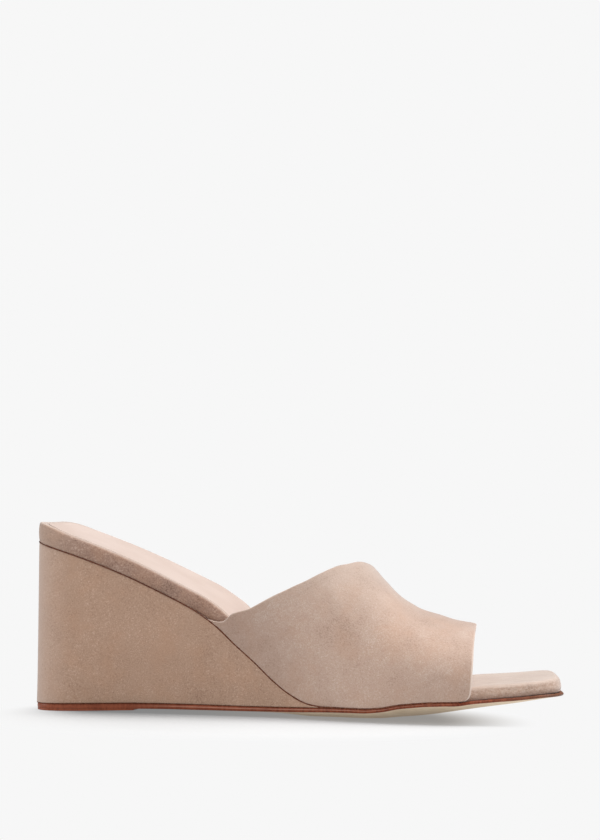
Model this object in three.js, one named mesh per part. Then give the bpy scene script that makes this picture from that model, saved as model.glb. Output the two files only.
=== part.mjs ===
// Wedge mule, left shoe, in millimetres. The toe points to +X, the inner side of the foot is -Y,
// +Z is up and the floor is z = 0.
// A suede vamp, open at the toe and at the heel, stands around a padded footbed. The footbed lies
// on a covered wedge at the back and on the leather outsole at the front.
// A place on the shoe is a station (mm from the back of the heel, along the middle) and a side
// value (mm across). Towards the front, the stations lean like the line of the toes.

import * as THREE from "three";

// Driving sizes
const shoeLength = 231.9; // along the middle, without the sole's ledge at the toe
const ballWidth = 82.8; // across the vamp at the ball of the foot
const wedgeHeight = 70.8; // outsole to footbed, at the back of the heel
const vampHeight = 61; // footbed's underside to the highest point of the topline
const vampWall = 2; // suede and lining together
const footbedHeelThickness = 7.8;
const footbedToeThickness = 4.8;
const footbedRimRadius = 2;
const seatCup = 0.4; // the heel seat is this much lower in the middle than at its rim
const toeCrown = 1.3; // the padding at the toe is this much higher in the middle than at its rim
const sockThickness = 0.6;
const sockInset = 2.3; // from the side of the footbed to the edge of the sock
const sockBackInset = 3.6; // from the back of the footbed to the edge of the sock
const sockLength = 161;
const outsoleThickness = 2.5; // where it is thickest, under the arch
const toeLedge = 1.2; // the outsole stands out past the footbed by this much at the toe
const heelInset = 0.5; // the outsole and top piece stay inside the wedge by this much
const topPieceThickness = 0.9; // at its back
const topPieceFrontThickness = 0.4;
const topPieceLength = 47;
const topPieceFlat = 12; // back part of the top piece that lies flat on the floor
const topPieceRise = 1.2; // front of the top piece above the floor
const toeSpring = 12.4; // underside of the toe above the floor
const edgeLift = 5.6; // the sole's edge above its middle, where it is most rounded
const wedgeFlare = 0.3; // the back and sides of the wedge lean in by this much, bottom to top
const wedgeTip = 0.5; // thickness of the wedge where it ends
const toeLineAngle = 12; // degrees that the line of the toes leans back towards the outer side
const clearance = 0.3; // between neighbouring pieces

// Rounded corners seen from above: how far a corner reaches along and across the foot
const heelCorner = { along: 9, across: 10, power: 2.1 };
const outerHeelCorner = { along: 16, across: 15, power: 2.1 };
const toeCorner = { along: 13, across: 17, power: 2.2 };

// Outline and padding of the shoe, one row for each section. Columns:
//   at       station, share of shoeLength
//   inner    half width towards the inner side, share of ballWidth
//   outer    half width towards the outer side, share of ballWidth
//   padding  footbed thickness, 0 as at the toe and 1 as at the heel
const SECTIONS = [
  { at: 0.0, inner: 0.32, outer: 0.308, padding: 1.42 },
  { at: 0.028, inner: 0.325, outer: 0.312, padding: 1.32 },
  { at: 0.078, inner: 0.33, outer: 0.318, padding: 1.0 },
  { at: 0.199, inner: 0.316, outer: 0.328, padding: 0.8 },
  { at: 0.34, inner: 0.32, outer: 0.366, padding: 0.6 },
  { at: 0.461, inner: 0.354, outer: 0.41, padding: 0.2 },
  { at: 0.562, inner: 0.434, outer: 0.462, padding: 0.08 },
  { at: 0.662, inner: 0.49, outer: 0.5, padding: 0.0 },
  { at: 0.743, inner: 0.5, outer: 0.5, padding: 0.0 },
  { at: 0.839, inner: 0.476, outer: 0.476, padding: 0.0 },
  { at: 0.94, inner: 0.434, outer: 0.434, padding: 0.0 },
  { at: 1.0, inner: 0.41, outer: 0.41, padding: 0.0 },
];

// Height of the wedge, share of wedgeHeight, at shares of shoeLength
const WEDGE = [
  { at: 0.0, height: 1.012 },
  { at: 0.068, height: 0.941 },
  { at: 0.133, height: 0.862 },
  { at: 0.199, height: 0.77 },
  { at: 0.259, height: 0.68 },
  { at: 0.32, height: 0.582 },
  { at: 0.36, height: 0.493 },
  { at: 0.4, height: 0.372 },
  { at: 0.436, height: 0.266 },
  { at: 0.471, height: 0.153 },
  { at: 0.501, height: 0.075 },
  { at: 0.531, height: 0.022 },
  { at: 0.557, height: 0.004 },
  { at: 0.597, height: 0.0 },
];

// The sole's underside at shares of shoeLength. Columns:
//   ground   clear height under the middle, share of toeSpring
//   lift     how far the edge stands above the middle, share of edgeLift
const UNDERSIDE = [
  { at: 0.3, ground: 0.155, lift: 0.04 },
  { at: 0.39, ground: 0.145, lift: 0.09 },
  { at: 0.471, ground: 0.095, lift: 0.27 },
  { at: 0.541, ground: 0.0, lift: 0.61 },
  { at: 0.592, ground: 0.0, lift: 0.69 },
  { at: 0.627, ground: 0.0, lift: 0.71 },
  { at: 0.657, ground: 0.015, lift: 0.8 },
  { at: 0.698, ground: 0.09, lift: 0.98 },
  { at: 0.733, ground: 0.155, lift: 1.0 },
  { at: 0.768, ground: 0.24, lift: 0.9 },
  { at: 0.811, ground: 0.38, lift: 0.68 },
  { at: 0.831, ground: 0.44, lift: 0.7 },
  { at: 0.855, ground: 0.515, lift: 0.66 },
  { at: 0.914, ground: 0.685, lift: 0.5 },
  { at: 0.945, ground: 0.79, lift: 0.4 },
  { at: 0.97, ground: 0.885, lift: 0.32 },
  { at: 1.0, ground: 1.0, lift: 0.18 },
];
const flatShare = 0.38; // middle share of the sole's half width that has no edge lift
const liftPower = 1.7;

// Thickness of the outsole, share of outsoleThickness, at shares of shoeLength
const OUTSOLE = [
  { at: 0.0, thickness: 0.8 },
  { at: 0.1, thickness: 0.95 },
  { at: 0.2, thickness: 1.0 },
  { at: 0.3, thickness: 0.97 },
  { at: 0.4, thickness: 0.88 },
  { at: 0.5, thickness: 0.8 },
  { at: 0.6, thickness: 0.72 },
  { at: 0.7, thickness: 0.6 },
  { at: 1.0, thickness: 0.56 },
];

// The vamp's crest above the footbed's underside, share of vampHeight, at shares of shoeLength.
// Behind the topline it is the line of the instep that shapes the wings.
const CREST = [
  { at: 0.34, height: 1.2 },
  { at: 0.451, height: 1.24 },
  { at: 0.541, height: 1.2 },
  { at: 0.602, height: 1.088 },
  { at: 0.635, height: 1.013 },
  { at: 0.653, height: 0.938 },
  { at: 0.672, height: 0.85 },
  { at: 0.69, height: 0.765 },
  { at: 0.703, height: 0.719 },
  { at: 0.72, height: 0.671 },
  { at: 0.74, height: 0.623 },
  { at: 0.78, height: 0.573 },
  { at: 0.841, height: 0.497 },
  { at: 0.862, height: 0.471 },
];
const vampRoundness = 2.25; // 2 is an ellipse, higher is squarer
const vampBulge = 1.2; // how far the sides of the vamp swell
const crestShift = -3; // the crest lies this far towards the inner side

// The vamp's back and front edges, from its lower edge (up = 0) to its crest (up = 1).
// back and front are stations, shares of shoeLength.
const VAMP_EDGES = [
  { up: 0.0, back: 0.345, front: 0.817 },
  { up: 0.01, back: 0.361, front: 0.823 },
  { up: 0.03, back: 0.375, front: 0.826 },
  { up: 0.08, back: 0.391, front: 0.828 },
  { up: 0.16, back: 0.426, front: 0.829 },
  { up: 0.3, back: 0.469, front: 0.831 },
  { up: 0.45, back: 0.515, front: 0.833 },
  { up: 0.6, back: 0.563, front: 0.836 },
  { up: 0.73, back: 0.597, front: 0.839 },
  { up: 0.85, back: 0.62, front: 0.842 },
  { up: 0.93, back: 0.6355, front: 0.8435 },
  { up: 1.0, back: 0.642, front: 0.845 },
];

const INNER = -1;
const OUTER = 1;
const { clamp, degToRad, lerp, smoothstep } = THREE.MathUtils;

// Smooth curve through one column of a table, without overshoot between its rows
function curveThrough(rows, key, column) {
  const x = rows.map((row) => row[key]);
  const y = rows.map((row) => row[column]);
  const last = rows.length - 1;
  const step = x.slice(1).map((value, i) => (y[i + 1] - y[i]) / (value - x[i]));
  const slope = x.map((_, i) => {
    if (i === 0) return step[0];
    if (i === last) return step[last - 1];
    if (step[i - 1] * step[i] <= 0) return 0;
    return (2 * step[i - 1] * step[i]) / (step[i - 1] + step[i]);
  });
  return (value) => {
    if (value <= x[0]) return y[0];
    if (value >= x[last]) return y[last];
    const i = x.findIndex((next) => next > value) - 1;
    const width = x[i + 1] - x[i];
    const t = (value - x[i]) / width;
    const rise = t * t * (3 - 2 * t);
    const start = t * (1 - t) * (1 - t) * width * slope[i];
    const end = t * t * (1 - t) * width * slope[i + 1];
    return lerp(y[i], y[i + 1], rise) + start - end;
  };
}

const innerShare = curveThrough(SECTIONS, "at", "inner");
const outerShare = curveThrough(SECTIONS, "at", "outer");
const paddingShare = curveThrough(SECTIONS, "at", "padding");
const wedgeShare = curveThrough(WEDGE, "at", "height");
const groundShare = curveThrough(UNDERSIDE, "at", "ground");
const liftShare = curveThrough(UNDERSIDE, "at", "lift");
const outsoleShare = curveThrough(OUTSOLE, "at", "thickness");
const crestShare = curveThrough(CREST, "at", "height");
const backShare = curveThrough(VAMP_EDGES, "up", "back");
const frontShare = curveThrough(VAMP_EDGES, "up", "front");

// Point of the shoe at a station, a side value and a height
const leanStart = 0.3 * shoeLength;
const leanEnd = 0.7 * shoeLength;
function pointAt(station, side, height) {
  const lean = Math.tan(degToRad(toeLineAngle)) * smoothstep(station, leanStart, leanEnd);
  return new THREE.Vector3(station - lean * side, side, height);
}

// Half width of the vamp and wedge towards one side, without the rounded corners of the outline
function fullHalf(station, direction) {
  const share = direction === INNER ? innerShare : outerShare;
  return ballWidth * share(station / shoeLength);
}

// What a rounded corner takes off the half width, at a distance from the end of the piece
function cornerCut(corner, distance) {
  const share = clamp(1 - distance / corner.along, 0, 1);
  return corner.across * (1 - (1 - share ** corner.power) ** (1 / corner.power));
}

const heelCornerAt = (direction) => (direction === INNER ? heelCorner : outerHeelCorner);
function outlineHalf(station, direction) {
  const heel = cornerCut(heelCornerAt(direction), station);
  return fullHalf(station, direction) - heel - cornerCut(toeCorner, shoeLength - station);
}

// The footbed is level with the wedge at the back, and steps in where the vamp wraps it.
const vampSeat = vampWall + clearance + 0.1;
const seatBlend = 10;
const vampBack = VAMP_EDGES[0].back * shoeLength;
const vampFront = VAMP_EDGES[0].front * shoeLength;
function footbedHalf(station, direction) {
  const inset = vampSeat * smoothstep(station, vampBack - seatBlend, vampBack);
  return outlineHalf(station, direction) - inset;
}

// The outsole is level with the vamp, and follows the footbed with a ledge in front of it.
function soleHalf(station, direction) {
  const back = heelInset * (1 - smoothstep(station, topPieceLength, vampBack));
  const front = (vampSeat - toeLedge) * smoothstep(station, vampFront, vampFront + seatBlend);
  return outlineHalf(station, direction) - back - front;
}

// Underside of the top piece, which is flat on the floor at its back
const topPieceCurve = 1.2;
function topPieceUnder(station) {
  const along = clamp((station - topPieceFlat) / (topPieceLength - topPieceFlat), 0, 1);
  return topPieceRise * along ** topPieceCurve;
}

// The top piece thins out to its front end.
function topPieceOver(station) {
  const along = clamp(station / topPieceLength, 0, 1);
  return topPieceUnder(station) + lerp(topPieceThickness, topPieceFrontThickness, along);
}

// Underside of the outsole, which rests on the top piece and on the floor at the ball of the foot
const topPieceBlend = 20;
function outsoleUnder(station, side) {
  const share = station / shoeLength;
  const free = smoothstep(station, topPieceLength, topPieceLength + topPieceBlend);
  const middle = lerp(topPieceOver(station) + clearance, toeSpring * groundShare(share), free);
  const outward = Math.abs(side) / fullHalf(station, side < 0 ? INNER : OUTER);
  const rounded = clamp((outward - flatShare) / (1 - flatShare), 0, 1) ** liftPower;
  return middle + free * edgeLift * liftShare(share) * rounded;
}
function outsoleOver(station, side) {
  return outsoleUnder(station, side) + outsoleThickness * outsoleShare(station / shoeLength);
}

// Underside of the footbed, on the wedge and then on the outsole
function footbedUnder(station, side) {
  return outsoleOver(station, side) + clearance + wedgeHeight * wedgeShare(station / shoeLength);
}

// Top of the footbed inside its rounded rim. The thickness is square to the slope. The padding
// is hollow at the heel and full at the toe.
const crownStart = 0.66 * shoeLength;
const crownEnd = 0.84 * shoeLength;
function footbedOver(station, side) {
  const direction = side < 0 ? INNER : OUTER;
  const rim = direction * fullHalf(station, direction);
  const padding = paddingShare(station / shoeLength);
  const thickness = lerp(footbedToeThickness, footbedHeelThickness, padding);
  const reach = 4;
  const slope = (footbedUnder(station + reach, rim) - footbedUnder(station - reach, rim)) / (2 * reach);
  const crown = toeCrown * smoothstep(station, crownStart, crownEnd) - seatCup * padding;
  return footbedUnder(station, rim) + thickness * Math.hypot(1, slope) + crown * (1 - (side / rim) ** 2);
}
const sockUnder = (station, side) => footbedOver(station, side) + clearance;
const sockOver = (station, side) => sockUnder(station, side) + sockThickness;

// Stations of a piece: its two ends, more in its rounded corners, and between them the sections
// that all pieces share, so that neighbouring surfaces have the same facets
const sectionSpacing = 5.2;
function stationList(from, to, backCorner, frontCorner) {
  const sections = Math.round(shoeLength / sectionSpacing);
  const shared = Array.from({ length: sections + 1 }, (_, i) => (i / sections) * shoeLength);
  const steps = [0, 1, 2, 3, 4, 5].map((i) => 1 - Math.cos((i / 5) * (Math.PI / 2)));
  const inCorner = (size) => (size > 0 ? steps.map((step) => size * step) : [0]);
  const margin = 0.2 * sectionSpacing;
  const first = from + backCorner + margin;
  const last = to - frontCorner - margin;
  return [
    ...inCorner(backCorner).map((distance) => from + distance),
    ...shared.filter((station) => station > first && station < last),
    ...inCorner(frontCorner).toReversed().map((distance) => to - distance),
  ];
}

// Shares of the half width, from the inner edge (-1) to the outer edge (1)
const evenShares = (count) => Array.from({ length: count }, (_, i) => lerp(-1, 1, i / (count - 1)));

// Grid of points with a row for each station and a column for each share of the half width
function grid(stations, shares, half, height) {
  return stations.map((station) =>
    shares.map((share) => {
      const side = share * half(station, share < 0 ? INNER : OUTER);
      return pointAt(station, side, height(station, side));
    }),
  );
}

// Closed body between an upper and a lower grid of the same size
function slab(upper, lower) {
  const rows = upper.length;
  const columns = upper[0].length;
  const above = (row, column) => row * columns + column;
  const below = (row, column) => rows * columns + above(row, column);
  const index = [];
  const quad = (a, b, c, d) => index.push(a, b, c, a, c, d);
  for (let i = 0; i + 1 < rows; i++) {
    for (let j = 0; j + 1 < columns; j++) {
      quad(above(i, j), above(i + 1, j), above(i + 1, j + 1), above(i, j + 1));
      quad(below(i, j), below(i, j + 1), below(i + 1, j + 1), below(i + 1, j));
    }
  }
  const last = { row: rows - 1, column: columns - 1 };
  for (let i = 0; i < last.row; i++) {
    quad(above(i, 0), below(i, 0), below(i + 1, 0), above(i + 1, 0));
    quad(
      above(i, last.column), above(i + 1, last.column),
      below(i + 1, last.column), below(i, last.column),
    );
  }
  for (let j = 0; j < last.column; j++) {
    quad(above(0, j), above(0, j + 1), below(0, j + 1), below(0, j));
    quad(
      above(last.row, j), below(last.row, j),
      below(last.row, j + 1), above(last.row, j + 1),
    );
  }
  const points = [...upper, ...lower].flat();
  const geometry = new THREE.BufferGeometry().setFromPoints(points);
  geometry.setIndex(index);
  geometry.computeVertexNormals();
  return geometry;
}

// Outsole: thin leather from the heel to the toe
function outsoleGeometry() {
  const toeEnd = shoeLength + toeLedge;
  const ahead = (station) => toeLedge * smoothstep(station, vampFront, shoeLength);
  const half = (station, direction) => soleHalf(station - ahead(station), direction);
  const stations = stationList(heelInset, toeEnd, heelCorner.along, toeCorner.along + toeLedge);
  const shares = evenShares(11);
  return slab(grid(stations, shares, half, outsoleOver), grid(stations, shares, half, outsoleUnder));
}

// Top piece: the rubber layer that the heel stands on
function topPieceGeometry() {
  const stations = stationList(heelInset, topPieceLength, heelCorner.along, 0);
  const shares = evenShares(9);
  return slab(
    grid(stations, shares, soleHalf, topPieceOver),
    grid(stations, shares, soleHalf, topPieceUnder),
  );
}

// Wedge: covered block between the outsole and the footbed, thinning out under the arch
function wedgeGeometry() {
  let front = 0.5 * shoeLength;
  while (wedgeShare(front / shoeLength) * wedgeHeight > wedgeTip) front += 0.5;
  const upper = stationList(0, front, heelCorner.along, 0);
  const lower = stationList(-wedgeFlare, front, heelCorner.along + wedgeFlare, 0);
  const shares = evenShares(9);
  const lowerHalf = (station, direction) => {
    const flare = wedgeFlare * wedgeShare(station / shoeLength);
    return outlineHalf(upper[lower.indexOf(station)], direction) + flare;
  };
  return slab(
    grid(upper, shares, outlineHalf, (station, side) => footbedUnder(station, side) - clearance),
    grid(lower, shares, lowerHalf, (station, side) => outsoleOver(station, side) + clearance),
  );
}

// Footbed: padded board with a rounded rim
function footbedGeometry() {
  const stations = stationList(0, shoeLength, heelCorner.along, toeCorner.along);
  const rimSteps = [0, 0.35, 0.7, 1];
  const sharesAt = (station) => {
    const rim = (direction) =>
      rimSteps.map((step) => {
        const inset = footbedRimRadius * (1 - Math.cos(step * (Math.PI / 2)));
        return direction * (1 - inset / footbedHalf(station, direction));
      });
    return [...rim(INNER), -0.7, -0.35, 0, 0.35, 0.7, ...rim(OUTER).toReversed()];
  };
  const rimDrop = (distance) => {
    const outside = footbedRimRadius - clamp(distance, 0, footbedRimRadius);
    return footbedRimRadius - Math.sqrt(footbedRimRadius ** 2 - outside ** 2);
  };
  const upper = stations.map((station) =>
    sharesAt(station).map((share) => {
      const half = footbedHalf(station, share < 0 ? INNER : OUTER);
      const side = share * half;
      const toEdge = Math.min(half - Math.abs(side), station, shoeLength - station);
      return pointAt(station, side, footbedOver(station, side) - rimDrop(toEdge));
    }),
  );
  return slab(upper, grid(stations, evenShares(upper[0].length), footbedHalf, footbedUnder));
}

// Sock: thin smooth leather on the footbed, from the heel to under the vamp
function sockGeometry() {
  const half = (station, direction) => {
    const corner = heelCornerAt(direction);
    const moved = cornerCut(corner, station - sockBackInset) - cornerCut(corner, station);
    return footbedHalf(station, direction) - sockInset - moved;
  };
  const stations = stationList(sockBackInset, sockLength, heelCorner.along, 0);
  const shares = evenShares(9);
  return slab(grid(stations, shares, half, sockOver), grid(stations, shares, half, sockUnder));
}

// Outside of the vamp at a station. round runs from the inner lower edge (0) over the crest (1)
// to the outer lower edge (2).
function vampPoint(station, round) {
  const direction = round < 1 ? INNER : OUTER;
  const up = round < 1 ? round : 2 - round;
  const angle = up * (Math.PI / 2);
  const inward = Math.cos(angle) ** (2 / vampRoundness);
  const upward = Math.sin(angle) ** (2 / vampRoundness);
  const half = fullHalf(station, direction);
  const bulge = vampBulge * Math.sin(Math.PI * Math.min(1, 1.6 * up));
  const side = direction * (half * inward + bulge) + crestShift * upward;
  const crest = vampHeight * crestShare(station / shoeLength);
  return pointAt(station, side, footbedUnder(station, direction * half) + crest * upward);
}

// Direction from the outside of the vamp to its lining, level at the lower edges
function vampInward(station, round) {
  const nudge = 0.01;
  const along = vampPoint(station + nudge, round).sub(vampPoint(station - nudge, round));
  const after = vampPoint(station, Math.min(2, round + nudge));
  const over = after.sub(vampPoint(station, Math.max(0, round - nudge)));
  const square = over.cross(along).normalize();
  const level = new THREE.Vector3(0, round < 1 ? -INNER : -OUTER, 0);
  const fromEdge = smoothstep(Math.min(round, 2 - round), 0, 0.12);
  return level.lerp(square, fromEdge).normalize();
}

// Vamp: one wall over the foot, with its lower edges on the wedge and the outsole
function vampGeometry() {
  const rows = 24;
  const columns = 32;
  const outside = [];
  const inside = [];
  for (let i = 0; i <= rows; i++) {
    const line = Array.from({ length: columns + 1 }, (_, j) => {
      const round = (2 * j) / columns;
      const up = Math.min(round, 2 - round);
      const station = shoeLength * lerp(backShare(up), frontShare(up), i / rows);
      const point = vampPoint(station, round);
      return { point, lining: point.clone().addScaledVector(vampInward(station, round), vampWall) };
    });
    outside.push(line.map((place) => place.point));
    inside.push(line.map((place) => place.lining));
  }
  return slab(outside, inside);
}

const finish = (color, roughness) => new THREE.MeshStandardMaterial({ color, roughness, metalness: 0 });
const vampSuede = finish(0xc4a592, 0.95);
const wedgeSuede = finish(0xa98975, 0.95);
const footbedSuede = finish(0xb79c8a, 0.95);
const sockLeather = finish(0xeed8ca, 0.55);
const soleLeather = finish(0x7b4a38, 0.5);
const heelRubber = finish(0x6e3b2a, 0.6);

const shoe = new THREE.Group();
function add(name, geometry, material) {
  const mesh = new THREE.Mesh(geometry, material);
  mesh.name = name;
  shoe.add(mesh);
}
add("outsole", outsoleGeometry(), soleLeather);
add("top_piece", topPieceGeometry(), heelRubber);
add("wedge", wedgeGeometry(), wedgeSuede);
add("footbed", footbedGeometry(), footbedSuede);
add("sock", sockGeometry(), sockLeather);
add("vamp", vampGeometry(), vampSuede);

// The origin is on the floor, under the middle of the shoe's length and width.
const bounds = new THREE.Box3().setFromObject(shoe);
const middle = bounds.getCenter(new THREE.Vector3());
shoe.position.set(-middle.x, -middle.y, 0);

export default shoe;
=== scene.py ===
# %% [markdown]
# # A suede wedge mule, dressed around its CAD solids
# The shoe is a left one: a suede vamp, open at the toe and at the heel, over a padded footbed.
# The footbed lies on a suede-covered wedge at the back and on a thin leather outsole in front.
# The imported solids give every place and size. This lesson gives them their covers: folded edges,
# padding, seams, nap and leather. First the solids are loaded, and their box is kept, so that the
# dressed shoe can be compared with it at the end.

# %% Load the solids
import math

import bmesh
import bpy
import numpy as np
from mathutils import Matrix, Vector


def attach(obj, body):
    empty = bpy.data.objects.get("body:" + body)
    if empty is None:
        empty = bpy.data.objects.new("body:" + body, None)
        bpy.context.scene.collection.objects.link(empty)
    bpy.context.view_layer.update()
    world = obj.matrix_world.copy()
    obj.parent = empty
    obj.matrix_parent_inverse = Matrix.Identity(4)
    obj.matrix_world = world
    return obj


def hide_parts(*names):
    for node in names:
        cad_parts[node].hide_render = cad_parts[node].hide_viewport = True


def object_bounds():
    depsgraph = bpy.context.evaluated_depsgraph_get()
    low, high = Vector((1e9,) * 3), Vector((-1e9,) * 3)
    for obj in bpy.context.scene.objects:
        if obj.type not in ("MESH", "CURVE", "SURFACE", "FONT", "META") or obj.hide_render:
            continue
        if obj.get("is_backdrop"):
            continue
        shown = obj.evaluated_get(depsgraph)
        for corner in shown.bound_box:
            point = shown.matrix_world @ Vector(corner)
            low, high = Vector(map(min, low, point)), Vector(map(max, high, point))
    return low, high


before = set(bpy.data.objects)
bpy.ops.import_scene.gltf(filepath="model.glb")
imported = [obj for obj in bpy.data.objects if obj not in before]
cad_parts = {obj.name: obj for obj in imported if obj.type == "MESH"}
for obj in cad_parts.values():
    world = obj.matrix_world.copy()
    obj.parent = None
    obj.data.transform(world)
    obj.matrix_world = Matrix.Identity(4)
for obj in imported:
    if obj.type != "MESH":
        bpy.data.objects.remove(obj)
solid_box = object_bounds()
print("solids:", sorted(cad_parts))

# %% [markdown]
# ## Camera
# The photograph is taken from the inner side of the foot, a little ahead of the middle, and the
# lens is long, so that the shoe hardly narrows with distance. The camera is set by its place, in
# metres, and by three angles. A camera looks along its own -Z axis, so its axes are written down
# as the columns of a rotation matrix.

# %% Camera
CAMERA_PLACE = Vector((0.2709, -1.1689, 0.100))
CAMERA_AZIMUTH = math.radians(13.19)
CAMERA_PITCH = math.radians(1.46)
CAMERA_ROLL = math.radians(0.6)
CAMERA_LENS = 115.2
CAMERA_SENSOR = 36


def camera_axes(azimuth, pitch, roll):
    """Right, up and forward of a camera with these angles."""
    level = Vector((-math.sin(azimuth), math.cos(azimuth), 0))
    forward = level * math.cos(pitch) + Vector((0, 0, math.sin(pitch)))
    right = forward.cross(Vector((0, 0, 1))).normalized()
    up = right.cross(forward)
    turned_right = right * math.cos(roll) + up * math.sin(roll)
    turned_up = up * math.cos(roll) - right * math.sin(roll)
    return turned_right, turned_up, forward


right, up, forward = camera_axes(CAMERA_AZIMUTH, CAMERA_PITCH, CAMERA_ROLL)
camera = bpy.data.objects.new("camera", bpy.data.cameras.new("camera"))
bpy.context.scene.collection.objects.link(camera)
camera.data.lens = CAMERA_LENS
camera.data.sensor_width = CAMERA_SENSOR
turn = Matrix((right, up, -forward)).transposed().to_4x4()
camera.matrix_world = Matrix.Translation(CAMERA_PLACE) @ turn
bpy.context.scene.camera = camera
print("camera at", tuple(round(x, 3) for x in CAMERA_PLACE))

# %% [markdown]
# ## The shoe's own lines
# The covers follow the same lines as the solids: a row of sections along the foot, the side line
# of the wedge, the underside of the sole, and the edges of the vamp. A place on the shoe is a
# station, in millimetres from the back of the heel, and a side value, in millimetres across.
# The numbers are the shoe's pattern, so they are kept in tables rather than read from a mesh.
# The sizes are in millimetres, and the tables hold shares of them. A station is a share of the
# shoe's length, a half width is one of the width at the ball, and a height, a lift or a
# thickness is one of the size that is named for it.

# %% Sizes
MM = 0.001
SHOE_LENGTH = 231.9
BALL_WIDTH = 82.8
WEDGE_HEIGHT = 70.8
VAMP_HEIGHT = 61
VAMP_WALL = 2
OUTSOLE_THICKNESS = 2.5
TOE_LEDGE = 1.2
HEEL_INSET = 0.5
TOP_PIECE_THICKNESS = 0.9
TOP_PIECE_FRONT = 0.4
TOP_PIECE_LENGTH = 47
TOP_PIECE_FLAT = 12
TOP_PIECE_RISE = 1.2
CLEARANCE = 0.3
HEEL_THICKNESS = 7.8
TOE_THICKNESS = 4.8
SEAT_CUP = 0.4
TOE_CROWN = 1.3
CROWN_START = 0.66 * SHOE_LENGTH
CROWN_FULL = 0.84 * SHOE_LENGTH
SOLE_CLEARANCE = 12.4
SOLE_EDGE_LIFT = 5.6
SOLE_FLAT_SHARE = 0.38
TOE_LEAN = math.radians(12)
ORIGIN = (-118.41, 0.35)

# length along the shoe, depth across it and power of the curve
HEEL_CORNER = (9, 10, 2.1)
OUTER_HEEL_CORNER = (16, 15, 2.1)
TOE_CORNER = (13, 17, 2.2)
print("shoe of", SHOE_LENGTH, "mm,", BALL_WIDTH, "mm wide at the ball")

# %% Tables
# station, inner half width, outer half width, padding
SECTIONS = [
    (0.0, 0.32, 0.308, 1.42), (0.028, 0.325, 0.312, 1.32), (0.078, 0.33, 0.318, 1.0),
    (0.199, 0.316, 0.328, 0.8), (0.34, 0.32, 0.366, 0.6), (0.461, 0.354, 0.41, 0.2),
    (0.562, 0.434, 0.462, 0.08), (0.662, 0.49, 0.5, 0.0), (0.743, 0.5, 0.5, 0.0),
    (0.839, 0.476, 0.476, 0.0), (0.94, 0.434, 0.434, 0.0), (1.0, 0.41, 0.41, 0.0),
]
# station, height of the wedge
WEDGE = [
    (0.0, 1.012), (0.068, 0.941), (0.133, 0.862), (0.199, 0.77), (0.259, 0.68),
    (0.32, 0.582), (0.36, 0.493), (0.4, 0.372), (0.436, 0.266), (0.471, 0.153),
    (0.501, 0.075), (0.531, 0.022), (0.557, 0.004), (0.597, 0.0),
]
# station, clear height under the middle, lift of the edge
UNDERSIDE = [
    (0.3, 0.155, 0.04), (0.39, 0.145, 0.09), (0.471, 0.095, 0.27), (0.541, 0.0, 0.61),
    (0.592, 0.0, 0.69), (0.627, 0.0, 0.71), (0.657, 0.015, 0.8), (0.698, 0.09, 0.98),
    (0.733, 0.155, 1.0), (0.768, 0.24, 0.9), (0.811, 0.38, 0.68), (0.831, 0.44, 0.7),
    (0.855, 0.515, 0.66), (0.914, 0.685, 0.5), (0.945, 0.79, 0.4), (0.97, 0.885, 0.32),
    (1.0, 1.0, 0.18),
]
# station, thickness of the outsole
OUTSOLE = [
    (0.0, 0.8), (0.1, 0.95), (0.2, 1.0), (0.3, 0.97), (0.4, 0.88),
    (0.5, 0.8), (0.6, 0.72), (0.7, 0.6), (1.0, 0.56),
]
# station, height of the vamp's crest
CREST = [
    (0.34, 1.2), (0.451, 1.24), (0.541, 1.2), (0.602, 1.088), (0.635, 1.013),
    (0.653, 0.938), (0.672, 0.85), (0.69, 0.765), (0.703, 0.719), (0.72, 0.671),
    (0.74, 0.623), (0.78, 0.573), (0.841, 0.497), (0.862, 0.471),
]
# share of the way up the vamp, station of its back edge, station of its front edge
VAMP_EDGES = [
    (0.0, 0.345, 0.817), (0.01, 0.361, 0.823), (0.03, 0.375, 0.826), (0.08, 0.391, 0.828),
    (0.16, 0.426, 0.829), (0.3, 0.469, 0.831), (0.45, 0.515, 0.833), (0.6, 0.563, 0.836),
    (0.73, 0.597, 0.839), (0.85, 0.62, 0.842), (0.93, 0.6355, 0.8435), (1.0, 0.642, 0.845),
]
print(len(SECTIONS), "sections and", len(VAMP_EDGES), "rows up the vamp")

# %% [markdown]
# ## Curves through the tables
# A straight line between two rows would show as a corner in the suede, and an ordinary smooth
# curve swings past its rows. So each curve takes its slope at a row from both neighbours, and
# none where the row is a peak or a hollow.

# %% Curves through the tables


def smooth(value, low, high):
    """0 below low and 1 above high, with a soft start and end."""
    share = np.clip((value - low) / (high - low), 0, 1)
    return share * share * (3 - 2 * share)


def curve_through(rows, column):
    """Smooth curve through a column of a table, without overshoot between its rows."""
    x = np.array([row[0] for row in rows])
    y = np.array([row[column] for row in rows])
    step = np.diff(y) / np.diff(x)
    product, total = step[:-1] * step[1:], step[:-1] + step[1:]
    inner = np.divide(2 * product, total, out=np.zeros_like(total), where=product > 0)
    slope = np.concatenate([step[:1], inner, step[-1:]])

    def curve(value):
        value = np.clip(value, x[0], x[-1])
        i = np.clip(np.searchsorted(x, value, side="right") - 1, 0, len(x) - 2)
        width = x[i + 1] - x[i]
        t = (value - x[i]) / width
        rise = (y[i + 1] - y[i]) * t * t * (3 - 2 * t)
        return y[i] + rise + width * t * (1 - t) * ((1 - t) * slope[i] - t * slope[i + 1])

    return curve


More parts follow.
